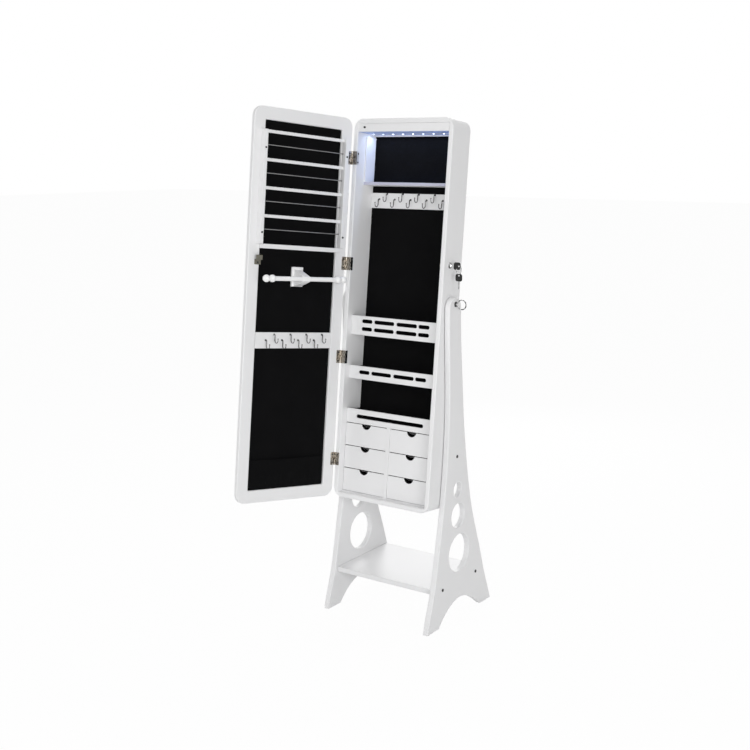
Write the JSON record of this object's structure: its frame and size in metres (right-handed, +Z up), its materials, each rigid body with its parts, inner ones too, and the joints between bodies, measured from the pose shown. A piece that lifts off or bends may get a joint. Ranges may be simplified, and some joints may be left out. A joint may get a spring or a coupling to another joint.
{
  "type": "jewelry armoire",
  "caption": "Free-standing tilting jewelry cabinet with a mirrored door that opens, drawers, slotted shelves, hook strips, an earring rack and a lit earring bay, on a two-panel stand.",
  "frame": {"origin": "under the middle of the whole box on the floor, with the door standing open", "axes": "+Z up, the cabinet's front faces -Y, the door is hinged on the -X side"},
  "size_m": [0.5294, 0.6909, 1.5627],
  "materials": {
    "white_paint": "satin white paint on MDF",
    "velvet": "black velvet",
    "steel": "polished steel",
    "wire": "bright nickel wire",
    "mirror": "mirror glass",
    "led": "white plastic with white LEDs",
    "dark_key": "black plastic key head on a steel blade",
    "dark_metal": "dark bright metal",
    "switch": "dark plastic",
    "nylon": "nylon washer"
  },
  "bodies": {
    "stand": {"left_stand_panel": "white_paint", "right_stand_panel": "white_paint", "stand_shelf": "white_paint", "rear_stretcher": "white_paint", "stand_screws": "steel", "left_pivot_bolt": "steel", "pin_housing": "dark_metal"},
    "pivot_pin": {"pivot_pin": "wire", "pull_ring": "wire"},
    "cabinet": {"cabinet_frame": "white_paint", "header_board": "white_paint", "back_panel": "white_paint", "velvet_back": "velvet", "light_bay_boards": "white_paint", "earring_panel": "velvet", "light_strip": "led", "hook_strip": "white_paint", "necklace_hooks": "wire", "upper_shelf_board": "white_paint", "upper_shelf_lip": "white_paint", "middle_shelf_board": "white_paint", "middle_shelf_lip": "white_paint", "drawer_case_board": "white_paint", "drawer_case_lip": "white_paint", "drawer_divider": "white_paint", "drawer_runners": "white_paint", "cabinet_hinge_leaves": "steel", "cabinet_hinge_screws": "steel", "hinge_pins": "steel", "pivot_washers": "nylon", "lock_housing": "steel"},
    "light_switch": {"light_switch": "switch"},
    "door": {"door_frame": "white_paint", "door_inner_panel": "velvet", "door_mirror": "mirror", "rack_posts": "white_paint", "rack_bars": "white_paint", "rack_rods": "wire", "door_divider": "white_paint", "bracelet_bracket": "white_paint", "bracelet_bar": "white_paint", "door_hook_strip": "white_paint", "door_hooks": "wire", "door_pocket": "velvet", "keeper_plate": "steel", "door_screws": "steel", "door_hinge_leaves": "steel"},
    "lock": {"lock_cylinder": "steel", "lock_cam": "steel", "key": "dark_key"},
    "key_ring": {"key_ring": "wire", "spare_key": "dark_key"},
    "drawer_bottom_left": {"drawer_bottom_left": "white_paint"},
    "drawer_bottom_right": {"drawer_bottom_right": "white_paint"},
    "drawer_middle_left": {"drawer_middle_left": "white_paint"},
    "drawer_middle_right": {"drawer_middle_right": "white_paint"},
    "drawer_top_left": {"drawer_top_left": "white_paint"},
    "drawer_top_right": {"drawer_top_right": "white_paint"}
  },
  "joints": [
    {"name": "cabinet_tilt", "type": "hinge", "parent": "stand", "child": "cabinet", "pos_m": [0.03308, 0.10056, 0.991], "axis": [-1, 0, 0], "range_deg": [-0.5, 10]},
    {"name": "door_hinge", "type": "hinge", "parent": "cabinet", "child": "door", "pos_m": [-0.14292, 0.04701, 0.95095], "axis": [0, -0.1059, -0.9944], "range_deg": [-107.5, 50]},
    {"name": "lock_turn", "type": "hinge", "parent": "cabinet", "child": "lock", "pos_m": [0.18308, 0.0985, 1.10385], "axis": [1, 0, 0], "range_deg": [0, 90]},
    {"name": "key_ring_swing", "type": "hinge", "parent": "lock", "child": "key_ring", "pos_m": [0.23858, 0.0985, 1.10385], "axis": [1, 0, 0], "range_deg": [-25, 13]},
    {"name": "pivot_pin_pull", "type": "slide", "parent": "stand", "child": "pivot_pin", "axis": [1, 0, 0], "range_m": [0, 0.012], "stiffness_N_per_m": 200},
    {"name": "light_switch_press", "type": "slide", "parent": "cabinet", "child": "light_switch", "axis": [0, 0.9944, -0.1059], "range_m": [0, 0.0015], "stiffness_N_per_m": 300},
    {"name": "drawer_bottom_left_slide", "type": "slide", "parent": "cabinet", "child": "drawer_bottom_left", "axis": [0, -0.9944, 0.1059], "range_m": [0, 0.05]},
    {"name": "drawer_bottom_right_slide", "type": "slide", "parent": "cabinet", "child": "drawer_bottom_right", "axis": [0, -0.9944, 0.1059], "range_m": [0, 0.05]},
    {"name": "drawer_middle_left_slide", "type": "slide", "parent": "cabinet", "child": "drawer_middle_left", "axis": [0, -0.9944, 0.1059], "range_m": [0, 0.05]},
    {"name": "drawer_middle_right_slide", "type": "slide", "parent": "cabinet", "child": "drawer_middle_right", "axis": [0, -0.9944, 0.1059], "range_m": [0, 0.05]},
    {"name": "drawer_top_left_slide", "type": "slide", "parent": "cabinet", "child": "drawer_top_left", "axis": [0, -0.9944, 0.1059], "range_m": [0, 0.05]},
    {"name": "drawer_top_right_slide", "type": "slide", "parent": "cabinet", "child": "drawer_top_right", "axis": [0, -0.9944, 0.1059], "range_m": [0, 0.05]}
  ]
}
